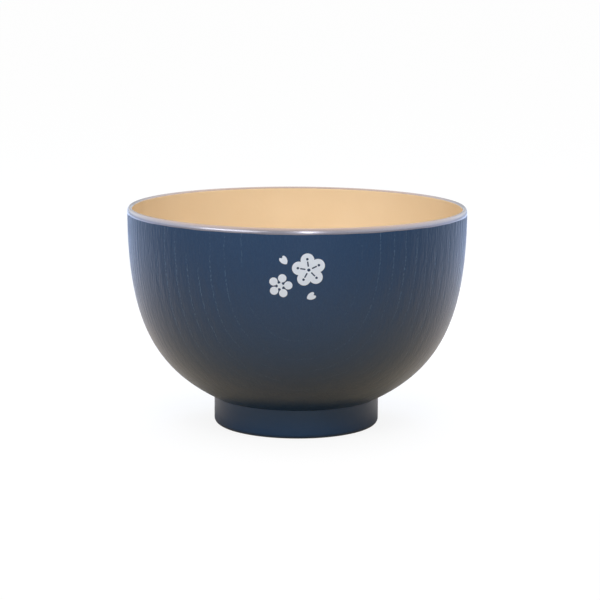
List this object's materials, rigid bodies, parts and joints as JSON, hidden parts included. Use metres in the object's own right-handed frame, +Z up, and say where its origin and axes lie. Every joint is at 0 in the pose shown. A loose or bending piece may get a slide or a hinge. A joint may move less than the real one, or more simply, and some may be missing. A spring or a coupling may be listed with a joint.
{
  "type": "soup bowl",
  "caption": "Round soup bowl with a full belly, upright rim and hollow ring foot: navy wood-grain coat outside, beige inside, silver lip and a small silver blossom print.",
  "frame": {"origin": "centre of the ring that the foot stands on, on the table", "axes": "+Z up along the bowl's axis, -Y towards the front with the print, +X to the right seen from the front"},
  "size_m": [0.112, 0.112, 0.0726],
  "materials": {
    "moulded_body": "matte, hidden under the coats",
    "beige_coat": "satin",
    "navy_grain_coat": "semi-gloss over wood grain",
    "navy_coat": "semi-gloss",
    "silver_paint": "metallic silver paint, glossy",
    "silver_ink": "silver printing ink, satin"
  },
  "bodies": {
    "root": {"bowl_core": "moulded_body", "inside_coat": "beige_coat", "outside_coat": "navy_grain_coat", "foot_coat": "navy_coat", "underside_coat": "navy_coat", "rim_band": "silver_paint", "print_large_blossom": "silver_ink", "print_small_blossom": "silver_ink", "print_upper_petal": "silver_ink", "print_lower_petal": "silver_ink"}
  },
  "joints": []
}
